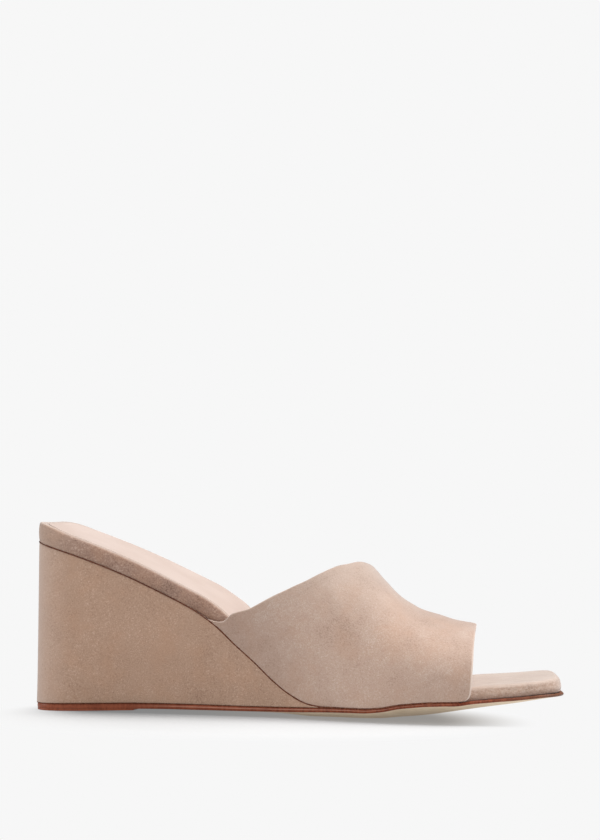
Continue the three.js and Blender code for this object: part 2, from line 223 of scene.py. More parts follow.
inner_share, outer_share, padding_share = (curve_through(SECTIONS, i) for i in (1, 2, 3))
wedge_share = curve_through(WEDGE, 1)
ground_share, lift_share = (curve_through(UNDERSIDE, i) for i in (1, 2))
outsole_share = curve_through(OUTSOLE, 1)
crest_share = curve_through(CREST, 1)
back_share, front_share = (curve_through(VAMP_EDGES, i) for i in (1, 2))
wedge_at_vamp = float(wedge_share(VAMP_EDGES[0][1])) * WEDGE_HEIGHT
print("wedge is", round(wedge_at_vamp, 1), "mm high where the vamp starts")

# %% [markdown]
# ## Half widths
# Each function takes whole arrays of stations and sides at once, which keeps the mesh building
# fast. The foot leans: the line of the toes runs back towards the outer side, so the stations
# are sheared a little towards the front.

# %% Half widths
INNER, OUTER = -1.0, 1.0


def direction_of(side):
    return np.where(np.asarray(side) < 0, INNER, OUTER)


def place(station, side, height):
    """Points of the shoe in metres."""
    lean = math.tan(TOE_LEAN) * smooth(station, 0.3 * SHOE_LENGTH, 0.7 * SHOE_LENGTH)
    x = station - lean * side + ORIGIN[0]
    y = side + ORIGIN[1] + 0 * x
    return np.stack(np.broadcast_arrays(x, y, height), axis=-1) * MM


def full_half(station, direction):
    """Half width without the rounded corners."""
    share = station / SHOE_LENGTH
    return BALL_WIDTH * np.where(direction < 0, inner_share(share), outer_share(share))


def corner_cut(corner, distance):
    """How much a rounded corner takes off the half width, this far from the end."""
    along, across, power = corner
    share = np.clip(1 - distance / along, 0, 1)
    return across * (1 - (1 - share**power) ** (1 / power))


def heel_cut(station, direction):
    inner, outer = (corner_cut(corner, station) for corner in (HEEL_CORNER, OUTER_HEEL_CORNER))
    return np.where(direction < 0, inner, outer)


def outline_half(station, direction):
    corners = heel_cut(station, direction) + corner_cut(TOE_CORNER, SHOE_LENGTH - station)
    return full_half(station, direction) - corners


print("heel is", round(float(outline_half(9.0, INNER) + outline_half(9.0, OUTER)), 1), "mm wide")

# %% [markdown]
# ## Half widths and heights of the layers
# The footbed is narrower where the vamp passes over its sides, and the sole is a little narrower
# than the rest. The heights are stacked from the floor: the top piece under the heel, the
# outsole, the wedge, and the footbed with its padding. Neighbours leave a hair of clearance.

# %% Half widths of the layers
VAMP_SEAT = VAMP_WALL + CLEARANCE + 0.1
VAMP_BACK = VAMP_EDGES[0][1] * SHOE_LENGTH
VAMP_FRONT = VAMP_EDGES[0][2] * SHOE_LENGTH
SEAT_BLEND = 10


def footbed_half(station, direction):
    seat = VAMP_SEAT * smooth(station, VAMP_BACK - SEAT_BLEND, VAMP_BACK)
    return outline_half(station, direction) - seat


def sole_half(station, direction):
    back = HEEL_INSET * (1 - smooth(station, TOP_PIECE_LENGTH, VAMP_BACK))
    front = (VAMP_SEAT - TOE_LEDGE) * smooth(station, VAMP_FRONT, VAMP_FRONT + SEAT_BLEND)
    return outline_half(station, direction) - back - front


print("vamp runs from", round(VAMP_BACK, 1), "to", round(VAMP_FRONT, 1), "mm")

# %% Heights of the layers


def top_piece_under(station, side=0):
    along = np.clip((station - TOP_PIECE_FLAT) / (TOP_PIECE_LENGTH - TOP_PIECE_FLAT), 0, 1)
    return TOP_PIECE_RISE * along**1.2 + 0 * side


def top_piece_thickness(station):
    taper = TOP_PIECE_FRONT - TOP_PIECE_THICKNESS
    return TOP_PIECE_THICKNESS + taper * np.clip(station / TOP_PIECE_LENGTH, 0, 1)


def outsole_under(station, side):
    """The sole rests on the top piece, then arches, and its edges curl up round the foot."""
    free = smooth(station, TOP_PIECE_LENGTH, TOP_PIECE_LENGTH + 20)
    share = station / SHOE_LENGTH
    rest = top_piece_under(station) + top_piece_thickness(station) + CLEARANCE
    middle = rest + (SOLE_CLEARANCE * ground_share(share) - rest) * free
    outward = np.abs(side) / full_half(station, direction_of(side))
    rounded = np.clip((outward - SOLE_FLAT_SHARE) / (1 - SOLE_FLAT_SHARE), 0, 1) ** 1.7
    return middle + free * SOLE_EDGE_LIFT * lift_share(share) * rounded


def outsole_over(station, side):
    return outsole_under(station, side) + OUTSOLE_THICKNESS * outsole_share(station / SHOE_LENGTH)


def footbed_under(station, side):
    wedge_height = WEDGE_HEIGHT * wedge_share(station / SHOE_LENGTH)
    return outsole_over(station, side) + CLEARANCE + wedge_height


def footbed_over(station, side):
    """The footbed's thickness is square to its slope, so it is taller where the wedge is steep."""
    rim = direction_of(side) * full_half(station, direction_of(side))
    padding = padding_share(station / SHOE_LENGTH)
    slope = (footbed_under(station + 4, rim) - footbed_under(station - 4, rim)) / 8
    thickness = (TOE_THICKNESS + (HEEL_THICKNESS - TOE_THICKNESS) * padding) * np.hypot(1, slope)
    crown = TOE_CROWN * smooth(station, CROWN_START, CROWN_FULL) - SEAT_CUP * padding
    return footbed_under(station, rim) + thickness + crown * (1 - (side / rim) ** 2)


print("heel seat at", round(float(footbed_over(8.0, 0.0)), 1), "mm")

# %% [markdown]
# ## Covers as rings
# Wedge, footbed, sock, outsole and top piece are all flat things with a rounded outline. Each is
# built from closed rings: from the middle of the underside outwards, round the lower edge, up the
# side, round the upper edge and back in to the middle of the top. Rings give an even edge all
# round, which a straight grid doesn't, and they make room for the bulge of padding at the side.
# A ring closes up on a line in the middle, the spine, where its two halves meet.

# %% Outline of a piece
SPACING = 1.3
CORNER_STEPS = 14


def plan_of(half, start, end, back_corner, front_corner):
    """Outline of a piece from above: stations, sides and the normal that points inwards."""
    turn = 1 - np.cos(np.linspace(0, math.pi / 2, CORNER_STEPS))
    first = start + back_corner * turn if back_corner else np.array([start])
    last = end - front_corner * turn[::-1] if front_corner else np.array([end])
    steps = max(2, int((last[0] - first[-1]) / SPACING))
    between = np.linspace(first[-1], last[0], steps + 1)[1:-1]
    stations = np.concatenate([first, between, last])
    inner_side = -half(stations, INNER)
    outer_side = half(stations, OUTER)

    def across(i, reverse):
        count = max(3, int((outer_side[i] - inner_side[i]) / SPACING))
        sides = np.linspace(inner_side[i], outer_side[i], count)[1:-1]
        return sides[::-1] if reverse else sides

    front, back = across(-1, False), across(0, True)
    front_station, back_station = np.full(len(front), end), np.full(len(back), start)
    station = np.concatenate([stations, front_station, stations[::-1], back_station])
    side = np.concatenate([inner_side, front, outer_side[::-1], back])
    along, over = (np.roll(v, -1) - np.roll(v, 1) for v in (station, side))
    length = np.hypot(along, over)
    return station, side, np.stack([-over, along]) / length


print("outlines have a point every", SPACING, "mm")

# %% Rings of a cover
EDGE_STEPS = 6
LARGEST_EDGE = 0.45
UNDER_SHARES = (1, 0.8, 0.6, 0.4, 0.2, 0.06)
OVER_SHARES = (0.03, 0.07, 0.12, 0.2, 0.3, 0.4, 0.5, 0.6, 0.7, 0.8, 0.9, 1)
SPINE_END = 0.12


def ring_cover(
    plan, over, under, top_radius, bottom_radius, bulge=0.0, flare=0.0, side_steps=6, relief=None
):
    """Rings of points of a cover, and how far round its section each ring is: 0 under, 1 to 2 up
    the side, 3 on top. The rounded edges are the parts from 0 to 1 and from 2 to 3, and neither
    takes more than the largest share of the thickness."""
    station, side, normal = plan
    start, end = station.min(), station.max()
    spine = (start + SPINE_END * (end - start), end - SPINE_END * (end - start))
    most = LARGEST_EDGE * (over(station, side) - under(station, side))
    top_radius, bottom_radius = np.minimum(top_radius, most), np.minimum(bottom_radius, most)
    rings, faces = [], []

    def at(inset, share=0.0):
        """Outline moved in by inset mm, then a share of the way to the spine."""
        x, y = station + inset * normal[0], side + inset * normal[1]
        return x + (np.clip(station, *spine) - x) * share, y * (1 - share)

    def add(x, y, z, face):
        rings.append(place(x, y, z))
        faces.append(face)

    quarter = np.linspace(0, math.pi / 2, EDGE_STEPS)
    for share in UNDER_SHARES:
        x, y = at(bottom_radius, share)
        add(x, y, under(x, y), 0.0)
    for angle in quarter:
        x, y = at(bottom_radius * (1 - math.sin(angle)) - flare)
        add(x, y, under(x, y) + bottom_radius * (1 - math.cos(angle)), angle / math.pi * 2)
    low = under(*at(-flare)) + bottom_radius
    high = over(*at(0)) - top_radius
    for up in np.linspace(0, 1, side_steps + 2)[1:-1]:
        height = low + (high - low) * up
        out = bulge * math.sin(math.pi * up) ** 0.8 + flare * (1 - up)
        if relief is not None:
            out = out + relief(station, side, height)
        x, y = at(-out)
        add(x, y, height, 1 + up)
    for angle in quarter:
        x, y = at(top_radius * (1 - math.cos(angle)))
        add(x, y, over(x, y) - top_radius * (1 - math.sin(angle)), 2 + angle / math.pi * 2)
    for share in OVER_SHARES:
        x, y = at(top_radius, share)
        add(x, y, over(x, y), 3.0)
    return np.array(rings), np.array(faces)


print("a cover has", len(UNDER_SHARES), "rings under it and", len(OVER_SHARES), "on top")

# %% Meshes
WELD = 2e-6
SLIVER = 1e-7


def loop_faces(rows, columns, close_rows=False, close_columns=False):
    """Four-sided faces between the rows and columns of a grid of points."""
    i = np.arange(rows if close_rows else rows - 1)[:, None]
    j = np.arange(columns if close_columns else columns - 1)[None, :]
    i, j = np.broadcast_arrays(i, j)
    i_next, j_next = (i + 1) % rows, (j + 1) % columns
    near, far = i * columns, i_next * columns
    return np.stack([near + j, near + j_next, far + j_next, far + j], axis=-1).reshape(-1, 4)


def make_piece(name, points, faces, marks):
    """A mesh object whose doubles are merged and whose faces point outwards."""
    mesh = bpy.data.meshes.new(name)
    corners = np.asarray(points).reshape(-1, 3).tolist()
    mesh.from_pydata(corners, [], [list(map(int, face)) for face in faces])
    for key, values in marks.items():
        attribute = mesh.attributes.new(key, "FLOAT", "POINT")
        attribute.data.foreach_set("value", np.asarray(values, np.float32).ravel())
    body = bmesh.new()
    body.from_mesh(mesh)
    bmesh.ops.remove_doubles(body, verts=body.verts, dist=WELD)
    bmesh.ops.dissolve_degenerate(body, edges=body.edges, dist=SLIVER)
    bmesh.ops.recalc_face_normals(body, faces=body.faces)
    for face in body.faces:
        face.smooth = True
    open_edges = sum(1 for edge in body.edges if not edge.is_manifold)
    body.to_mesh(mesh)
    body.free()
    piece = bpy.data.objects.new(name, mesh)
    bpy.context.scene.collection.objects.link(piece)
    triangles = sum(len(polygon.vertices) - 2 for polygon in mesh.polygons)
    print(f"{name}: {triangles} triangles, {open_edges} open edges")
    return piece


def make_cover(name, rings, faces):
    count, length = rings.shape[:2]
    marks = {"section": np.repeat(faces[:, None], length, axis=1)}
    return make_piece(name, rings, loop_faces(count, length, close_columns=True), marks)


print("points closer than", WELD / MM, "mm are merged")

# %% [markdown]
# ## Shader maths in Python
# A material is a tree of nodes. Wrapping a socket in a small class lets the maths be written as
# ordinary expressions: each operator adds one Math node. Anything that isn't plain arithmetic
# goes through one method, which takes the kind of node, its settings and its sockets' values.

# %% Value


class Value:
    """One socket of a material. Arithmetic on it adds Math nodes."""

    def __init__(self, finish, socket):
        self.finish = finish
        self.socket = socket

    def math(self, operation, first, second):
        return self.finish.node("ShaderNodeMath", {"operation": operation}, {0: first, 1: second})

    def __add__(self, other):
        return self.math("ADD", self, other)

    def __sub__(self, other):
        return self.math("SUBTRACT", self, other)

    def __rsub__(self, other):
        return self.math("SUBTRACT", other, self)

    def __mul__(self, other):
        return self.math("MULTIPLY", self, other)

    __radd__ = __add__
    __rmul__ = __mul__


print("a value adds, subtracts and multiplies")

# %% Finish


class Finish:
    """A material with one main shader. What is the same all over is set on the shader itself."""

    def __init__(self, name, **uniform):
        self.material = bpy.data.materials.new(name)
        self.material.use_nodes = True
        self.tree = self.material.node_tree
        self.shader = self.tree.nodes["Principled BSDF"]
        for key, value in uniform.items():
            socket = key.replace("_", " ").title().replace("Ior", "IOR")
            self.shader.inputs[socket].default_value = value

    def node(self, kind, settings, sockets, output=0):
        node = self.tree.nodes.new(kind)
        for key, value in settings.items():
            setattr(node, key, value)
        for key, value in sockets.items():
            self.feed(node.inputs[key], value)
        return Value(self, node.outputs[output])

    def feed(self, socket, value):
        if isinstance(value, Value):
            self.tree.links.new(value.socket, socket)
        else:
            socket.default_value = value

    def coordinates(self):
        return self.node("ShaderNodeTexCoord", {}, {}, "Object")

    def along(self):
        """Place along the shoe in metres, from the heel below 0 to the toe above it."""
        return self.node("ShaderNodeSeparateXYZ", {}, {0: self.coordinates()}, "X")

    def height(self):
        """Height above the floor in metres."""
        return self.node("ShaderNodeSeparateXYZ", {}, {0: self.coordinates()}, "Z")

    def stretched(self, scale):
        """Coordinates that draw a pattern out along each axis whose scale is below 1."""
        return self.node("ShaderNodeMapping", {}, {"Vector": self.coordinates(), "Scale": scale})

    def noise(self, size, detail=2.0, rough=0.5, vector=None):
        """Cloudy noise from 0 to 1 whose patches are about size mm across."""
        sockets = {
            "Vector": vector or self.coordinates(),
            "Scale": 1000 / size,
            "Detail": detail,
            "Roughness": rough,
        }
        return self.node("ShaderNodeTexNoise", {}, sockets)

    def step(self, value, low, high):
        """0 below low and 1 above high, with a soft start and end."""
        sockets = {"Value": value, "From Min": low, "From Max": high}
        return self.node("ShaderNodeMapRange", {"interpolation_type": "SMOOTHSTEP"}, sockets)

    def mix(self, share, first, second):
        """Colour between two colours. The sockets have numbers because their names repeat."""
        return self.node("ShaderNodeMix", {"data_type": "RGBA"}, {0: share, 6: first, 7: second}, 2)

    def mark(self, name):
        """A value that the mesh carries at each of its points."""
        return self.node("ShaderNodeAttribute", {"attribute_name": name}, {}, "Fac")

    def bump(self, height):
        """Bump from a height in millimetres."""
        sockets = {"Strength": 1.0, "Distance": MM, "Height": height}
        self.feed(self.shader.inputs["Normal"], self.node("ShaderNodeBump", {}, sockets))

    def surface(self, color, roughness=None):
        self.feed(self.shader.inputs["Base Color"], color)
        if roughness is not None:
            self.feed(self.shader.inputs["Roughness"], roughness)
        return self.material


def colour(red, green, blue):
    """A colour written as on a paint chart, 0 to 255, in the linear values that shaders use."""
    shares = (value / 255 for value in (red, green, blue))
    linear = (x / 12.92 if x <= 0.04045 else ((x + 0.055) / 1.055) ** 2.4 for x in shares)
    return (*linear, 1.0)


print("sand is", [round(x, 3) for x in colour(190, 163, 146)])

# %% [markdown]
# ## Suede
# Suede is the brushed flesh side of a hide. It has no gloss. Its short pile lies this way and
# that, so it shows soft lighter and darker patches as large as a thumb, smaller clouds inside
# them, and a fine grain of single tufts. The patches, clouds and grain are three noises of
# falling size. A little sheen stands for the pile that catches the light at the outline. The wear
# or brushing of one piece only, and the light and shade painted on it, come from a function of
# its own, which is run last.

# %% Suede
BLUSH = colour(186, 142, 112)
BLUSH_SIZE = 13
CLOUD_DEPTH = 0.08


def suede(name, dark, mid, light, patch, cloud, grain, soft, speck, depth, warm, edge):
    """patch, cloud and grain are sizes in mm, and depth is the height of the tufts in mm. soft is
    how much the patches and the clouds change the tone, speck how much the tufts do, and warm
    how much some patches blush. edge adds the wear of this piece and the light and shade painted
    on it."""
    finish = Finish(
        name, roughness=0.95, sheen_weight=0.5, sheen_roughness=0.5, specular_ior_level=0.1
    )
    patches = finish.noise(patch, 2.0, 0.5)
    clouds = finish.noise(cloud, 4.0, 0.6)
    tufts = finish.noise(grain, 2.0, 0.7)
    pile = finish.noise(grain * 0.5, 1.0, 0.6)
    broad = (patches - 0.5) * soft[0] + (clouds - 0.5) * soft[1]
    shade = broad + (tufts - 0.5) * speck + (pile - 0.5) * speck
    low = finish.mix(finish.step(shade, -0.5, 0.0), dark, mid)
    tone = finish.mix(finish.step(shade, 0.0, 0.5), low, light)
    blush = finish.step(finish.noise(BLUSH_SIZE, 3.0, 0.6), 0.42, 0.68)
    tone = finish.mix(blush * warm, tone, BLUSH)
    finish.bump(tufts * depth + pile * (depth * 0.8) + clouds * CLOUD_DEPTH)
    return finish.surface(edge(finish, tone))


print("blushed patches are about", BLUSH_SIZE, "mm across")

# %% Painted light and shade of the vamp
PAINTED_SHADE_NAP = colour(120, 97, 86)
PAINTED_TOP_LIGHT = colour(186, 173, 163)
PAINTED_FOLD_HIGHLIGHT = colour(222, 206, 194)


def vamp_painted_light(finish, tone):
    """Painted shade darkens the wings and the suede low at the front, and painted light makes it
    paler high up. A painted highlight lightens the fold, most at the low front corner."""
    along, height = finish.along(), finish.height()
    low_front = finish.step(along, 0.04, 0.06) * (1 - finish.step(height, 0.02, 0.045))
    on_fold = 1 - finish.step(finish.mark("from_edge"), 0.1, 0.9)
    wing = 1 - finish.step(along, -0.03, 0.03)
    low = (1 - finish.step(height, 0.018, 0.034)) * finish.step(along, 0.03, 0.07)
    # painted shade: darker on the wings and low at the front, where less light falls
    tone = finish.mix(wing * 0.36 + low * 0.16, tone, PAINTED_SHADE_NAP)
    # painted light: paler high up, where the top catches the light
    tone = finish.mix(finish.step(height, 0.038, 0.07) * 0.38, tone, PAINTED_TOP_LIGHT)
    # painted highlight on the round fold, most at the low front corner
    return finish.mix(on_fold * (0.16 + 0.5 * low_front), tone, PAINTED_FOLD_HIGHLIGHT)


vamp_suede = suede(
    "vamp_suede", colour(157, 129, 112), colour(189, 162, 146), colour(208, 189, 176),
    patch=24, cloud=8, grain=0.9, soft=(0.74, 0.5), speck=0.68, depth=0.07, warm=0.2,
    edge=vamp_painted_light,
)
print("suede:", vamp_suede.name)

# %% Painted light on the wedge
PAINTED_HEEL_LIGHT = colour(196, 172, 158)
WEDGE_GRAIN = 0.9


def wedge_painted_light(finish, tone):
    """Painted light makes the suede lighter round the back corner of the heel, most on the tufts
    that stand up.
    """
    back = 1 - finish.step(finish.along(), -0.12, -0.098)
    tufts = finish.noise(WEDGE_GRAIN, 2.0, 0.7)
    # painted light on the back corner of the heel
    return finish.mix(back * (0.5 + 0.3 * tufts), tone, PAINTED_HEEL_LIGHT)


# The wedge's suede is darker than the vamp's, partly as painted shade of its upright side.
wedge_suede = suede(
    "wedge_suede", colour(143, 111, 92), colour(172, 141, 120), colour(199, 170, 152),
    patch=30, cloud=7, grain=WEDGE_GRAIN, soft=(0.34, 0.34), speck=0.8, depth=0.07, warm=0.18,
    edge=wedge_painted_light,
)
print("suede:", wedge_suede.name)

# %% Wear and painted light of the footbed
PAINTED_RIM_LIGHT = colour(196, 170, 152)
FUZZ = colour(226, 210, 196)
BRUSHED_NAP_AND_PAINTED_LIGHT = colour(196, 175, 161), colour(212, 194, 181)


def footbed_wear_and_light(finish, tone):
    """Painted light makes the rim lighter at the heel corner and towards the toe, which leaves it
    darker between them, as if shaded. The rim's upper edge is lighter, partly rubbed and partly a
    painted highlight. At the toe the top is brushed lengthwise and is lighter, partly by painted
    light, and the side is cut and fuzzy, with light tufts."""
    section, along = finish.mark("section"), finish.along()
    toe = finish.step(along, 0.03, 0.07)
    heel = 1 - finish.step(along, -0.116, -0.092)
    # painted light: lighter at the heel corner and towards the toe, darker between, as if shaded
    tone = finish.mix(toe * 0.36 + heel * 0.42, tone, PAINTED_RIM_LIGHT)
    fuzz = finish.step(finish.noise(1.1, 3.0, 0.7), 0.36, 0.68)
    tone = finish.mix(toe * fuzz * (0.16 + 0.16 * finish.step(along, 0.07, 0.11)), tone, FUZZ)
    streaks = finish.noise(1.7, 3.0, 0.6, finish.stretched((0.16, 1, 1)))
    # upper edge, and at the toe the top: partly rubbed and brushed, partly painted light
    heel_worn_and_highlit = finish.step(section, 2.3, 2.95)
    toe_worn_and_highlit = finish.step(section, 2.15, 2.8)
    worn_and_highlit = (heel_worn_and_highlit + (toe_worn_and_highlit - heel_worn_and_highlit) * toe) * (0.74 + 0.3 * streaks * toe)
    streaked = finish.step(streaks, 0.3, 0.7) * toe + 0.5 * (1 - toe)
    return finish.mix(worn_and_highlit, tone, finish.mix(streaked, *BRUSHED_NAP_AND_PAINTED_LIGHT))


footbed_suede = suede(
    "footbed_suede", colour(112, 86, 73), colour(149, 120, 105), colour(183, 156, 141),
    patch=18, cloud=4, grain=1.0, soft=(0.55, 0.6), speck=0.8, depth=0.09, warm=0.2,
    edge=footbed_wear_and_light,
)
print("suede:", footbed_suede.name)

# %% [markdown]
# ## Smooth leathers and rubber
# The sock and the lining are thin smooth leather: a satin surface with a fine pebbled grain and
# hardly any change of tone. The outsole is vegetable-tanned leather. Its edge is stained
# reddish brown, with a painted highlight along its middle under the arch, and its underside is
# left pale. The edge of the top piece is stained like the sole's.

# %% Smooth leather
PEBBLE = 0.9


def smooth_leather(name, dark, light, roughness):
    finish = Finish(name, specular_ior_level=0.35, coat_roughness=0.4)
    clouds = finish.noise(28, 2.0, 0.5)
    pebbles = {"Vector": finish.coordinates(), "Scale": 1000 / PEBBLE}
    pores = finish.node("ShaderNodeTexVoronoi", {"feature": "DISTANCE_TO_EDGE"}, pebbles)
    grain = finish.step(pores, 0.0, 0.35)
    finish.bump(grain * 0.02 + finish.noise(6, 2.0) * 0.06)
    tone = finish.mix(finish.step(clouds, 0.3, 0.7), dark, light)
    return finish.surface(tone, roughness + 0.12 * (1 - grain))


sock_leather = smooth_leather(
    "sock_leather", colour(206, 186, 175), colour(213, 194, 184), roughness=0.5
)
lining_leather = smooth_leather(
    "lining_leather", colour(219, 192, 178), colour(229, 204, 191), roughness=0.55
)
print("leathers:", sock_leather.name, lining_leather.name)

# %% Sole leather and rubber
STAIN = colour(104, 46, 26), colour(146, 78, 52)
PAINTED_EDGE_HIGHLIGHT = colour(188, 140, 120)
TOE_STAIN = colour(112, 82, 62)
HEEL_STAIN = colour(172, 98, 72)
BUFFED = colour(230, 211, 184)


def sole_finish(name, bare):
    """Stained edge over a bare underside. The stain is redder at the heel and browner at the
    toe, and between them a painted highlight runs along the middle of the rounded edge."""
    finish = Finish(name, specular_ior_level=0.22)
    section, along = finish.mark("section"), finish.along()
    painted = finish.step(section, 0.05, 0.35)
    fibres = finish.noise(0.9, 2.0, 0.65, finish.stretched((1, 1, 0.35)))
    rubs = finish.noise(6, 3.0, 0.6)
    stain = finish.mix(finish.step(fibres * 0.6 + rubs * 0.4, 0.35, 0.66), *STAIN)
    streak = finish.step(section, 1.2, 1.4) * (1 - finish.step(section, 1.6, 1.9))
    between = finish.step(along, -0.075, -0.045) * (1 - finish.step(along, 0.062, 0.08))
    # painted highlight along the middle of the rounded edge, where it catches the light
    stain = finish.mix(streak * between * (0.4 + 0.6 * rubs), stain, PAINTED_EDGE_HIGHLIGHT)
    stain = finish.mix(finish.step(along, 0.085, 0.118) * 0.6, stain, TOE_STAIN)
    stain = finish.mix((1 - finish.step(along, -0.06, 0.03)) * 0.32, stain, HEEL_STAIN)
    underside = finish.mix(finish.step(rubs, 0.3, 0.7), bare, BUFFED)
    finish.bump(fibres * 0.05 + rubs * 0.05)
    roughness = 0.62 - 0.2 * painted + 0.15 * (fibres - 0.5)
    return finish.surface(finish.mix(painted, underside, stain), roughness)


sole_leather = sole_finish("sole_leather", colour(222, 200, 172))
heel_rubber = sole_finish("heel_rubber", colour(104, 62, 48))
print("soles:", sole_leather.name, heel_rubber.name)

# %% [markdown]
# ## Joint lines
# Where two covered pieces meet, their turned edges leave a narrow groove. The dark line laid in
# it is partly painted shade of the groove and partly dark cement. The line follows a path, so
# Geometry Nodes makes it: the path is resampled, its radius is made a little uneven by a noise
# with a fixed seed, and a small round profile is swept along it. The tree's inputs are the sizes
# of the line.

# %% The tree of a joint line
# width and spacing in metres
LINE_SIZES = {"Width": 0.0006, "Spacing": 0.0008, "Unevenness": 0.6, "Seed": 3.0}


def line_tree():
    tree = bpy.data.node_groups.new("joint_line", "GeometryNodeTree")
    face = tree.interface
    face.new_socket("Path", in_out="INPUT", socket_type="NodeSocketGeometry")
    for label, start in LINE_SIZES.items():
        socket = face.new_socket(label, in_out="INPUT", socket_type="NodeSocketFloat")
        socket.default_value = start
    face.new_socket("Finish", in_out="INPUT", socket_type="NodeSocketMaterial")
    face.new_socket("Line", in_out="OUTPUT", socket_type="NodeSocketGeometry")

    def add(kind, settings, sockets):
        """Node whose sockets, by name or number, take links or plain values."""
        node = tree.nodes.new(kind)
        for key, value in settings.items():
            setattr(node, key, value)
        for key, value in sockets.items():
            if isinstance(value, bpy.types.NodeSocket):
                tree.links.new(value, node.inputs[key])
            else:
                node.inputs[key].default_value = value
        return node.outputs[0]

    given = tree.nodes.new("NodeGroupInput").outputs
    spaced = {"Curve": given["Path"], "Length": given["Spacing"]}
    path = add("GeometryNodeResampleCurve", {"mode": "LENGTH"}, spaced)
    seeded = {"W": given["Seed"], "Scale": 700.0, "Detail": 1.0}
    noise = add("ShaderNodeTexNoise", {"noise_dimensions": "4D"}, seeded)
    centred = add("ShaderNodeMath", {"operation": "SUBTRACT"}, {0: noise, 1: 0.5})
    uneven = {0: centred, 1: given["Unevenness"], 2: 0.5}
    swing = add("ShaderNodeMath", {"operation": "MULTIPLY_ADD"}, uneven)
    radius = add("ShaderNodeMath", {"operation": "MULTIPLY"}, {0: swing, 1: given["Width"]})
    profile = add("GeometryNodeCurvePrimitiveCircle", {}, {"Resolution": 6, "Radius": 1.0})
    sweep = {"Curve": path, "Profile Curve": profile, "Scale": radius, "Fill Caps": True}
    swept = add("GeometryNodeCurveToMesh", {}, sweep)
    real = add("GeometryNodeRealizeInstances", {}, {"Geometry": swept})
    finished = add("GeometryNodeSetMaterial", {}, {"Geometry": real, "Material": given["Finish"]})
    tree.links.new(finished, tree.nodes.new("NodeGroupOutput").inputs["Line"])
    return tree


joint_tree = line_tree()
print("tree of", len(joint_tree.nodes), "nodes")

# %% Laying a joint line


def lay_line(name, points, width, seed=LINE_SIZES["Seed"]):
    """A line, about width mm wide, swept along points in metres, as a plain mesh piece."""
    curve = bpy.data.curves.new(name + "_path", "CURVE")
    curve.dimensions = "3D"
    spline = curve.splines.new("POLY")
    spline.points.add(len(points) - 1)
    spline.points.foreach_set("co", np.column_stack([points, np.ones(len(points))]).ravel())
    path = bpy.data.objects.new(name + "_path", curve)
    bpy.context.scene.collection.objects.link(path)
    modifier = path.modifiers.new("line", "NODES")
    modifier.node_group = joint_tree
    chosen = {"Width": width * MM, "Seed": seed, "Finish": groove}
    for item in joint_tree.interface.items_tree:
        if item.name in chosen:
            modifier[item.identifier] = chosen[item.name]
    evaluated = path.evaluated_get(bpy.context.evaluated_depsgraph_get())
    mesh = bpy.data.meshes.new_from_object(evaluated)
    bpy.data.objects.remove(path)
    mesh.name = name
    line = bpy.data.objects.new(name, mesh)
    bpy.context.scene.collection.objects.link(line)
    for polygon in mesh.polygons:
        polygon.use_smooth = True
    print(f"{name}: {sum(len(polygon.vertices) - 2 for polygon in mesh.polygons)} triangles")
    return line


def groove_finish(name, dark, light):
    finish = Finish(name, roughness=0.9, specular_ior_level=0.1)
    crumbs = finish.noise(0.7, 2.0, 0.6)
    finish.bump(crumbs * 0.05)
    return finish.surface(finish.mix(finish.step(crumbs, 0.35, 0.65), dark, light))


# painted shade: the dark cord stands partly for the shade in the groove, partly for cement
groove = groove_finish("joint_groove", colour(86, 48, 36), colour(122, 80, 62))
print("groove finish:", groove.name)

# %% [markdown]
# ## Outsole and top piece
# The outsole is one sheet of thin leather from the heel to the toe. It touches the floor under
# the ball of the foot, rises to the toe, and its edges curl up round the foot. The top piece is
# the layer that the heel stands on. Both have softly rounded edges, which catch a thin light.

# %% Outsole
CORNER = HEEL_CORNER[0]


def dress(piece, material, node):
    """Give a piece its material, hide the solid that it stands for, and hang it under the root."""
    piece.data.materials.append(material)
    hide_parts(node)
    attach(piece, "root")


def outsole_half(station, direction):
    ahead = TOE_LEDGE * smooth(station, VAMP_FRONT, SHOE_LENGTH)
    return sole_half(station - ahead, direction)


outsole_end = SHOE_LENGTH + TOE_LEDGE
outsole_plan = plan_of(outsole_half, HEEL_INSET, outsole_end, CORNER, TOE_CORNER[0] + TOE_LEDGE)
lower_edge = 0.12 + 0.6 * smooth(outsole_plan[0], TOP_PIECE_LENGTH, TOP_PIECE_LENGTH + 8)
rings, faces = ring_cover(
    outsole_plan, outsole_over, outsole_under,
    top_radius=0.5, bottom_radius=lower_edge, bulge=0.15,
)
dress(make_cover("outsole_leather", rings, faces), sole_leather, "outsole")

# %% Top piece
TOP_PIECE_GAP = CLEARANCE - 0.05


def top_piece_over(station, side):
    return top_piece_under(station, side) + top_piece_thickness(station) + TOP_PIECE_GAP


top_piece_plan = plan_of(sole_half, HEEL_INSET, TOP_PIECE_LENGTH, CORNER, 0)
rings, faces = ring_cover(
    top_piece_plan, top_piece_over, top_piece_under, top_radius=0.05, bottom_radius=0.25
)
dress(make_cover("heel_top_piece", rings, faces), heel_rubber, "top_piece")

# %% [markdown]
# ## Wedge
# The wedge is a light block with suede pulled round it and glued. Suede over a hard block stays
# nearly flat: its edges are turned with a small radius and its sides show only faint hollows.

# %% Wedge
SEAM = 0.1
WEDGE_TIP = 0.5
HOLLOW_DEPTH = 0.12
HOLLOW_LENGTH = 17
HOLLOW_HEIGHT = 21


def hollows(station, side, height):
    """Faint hollows and swellings of the suede on the wedge, in mm."""
    along = np.sin(station / HOLLOW_LENGTH + direction_of(side))
    upward = np.sin(height / HOLLOW_HEIGHT + 0.6)
    return HOLLOW_DEPTH * (along * upward) * smooth(height, 2, 12)


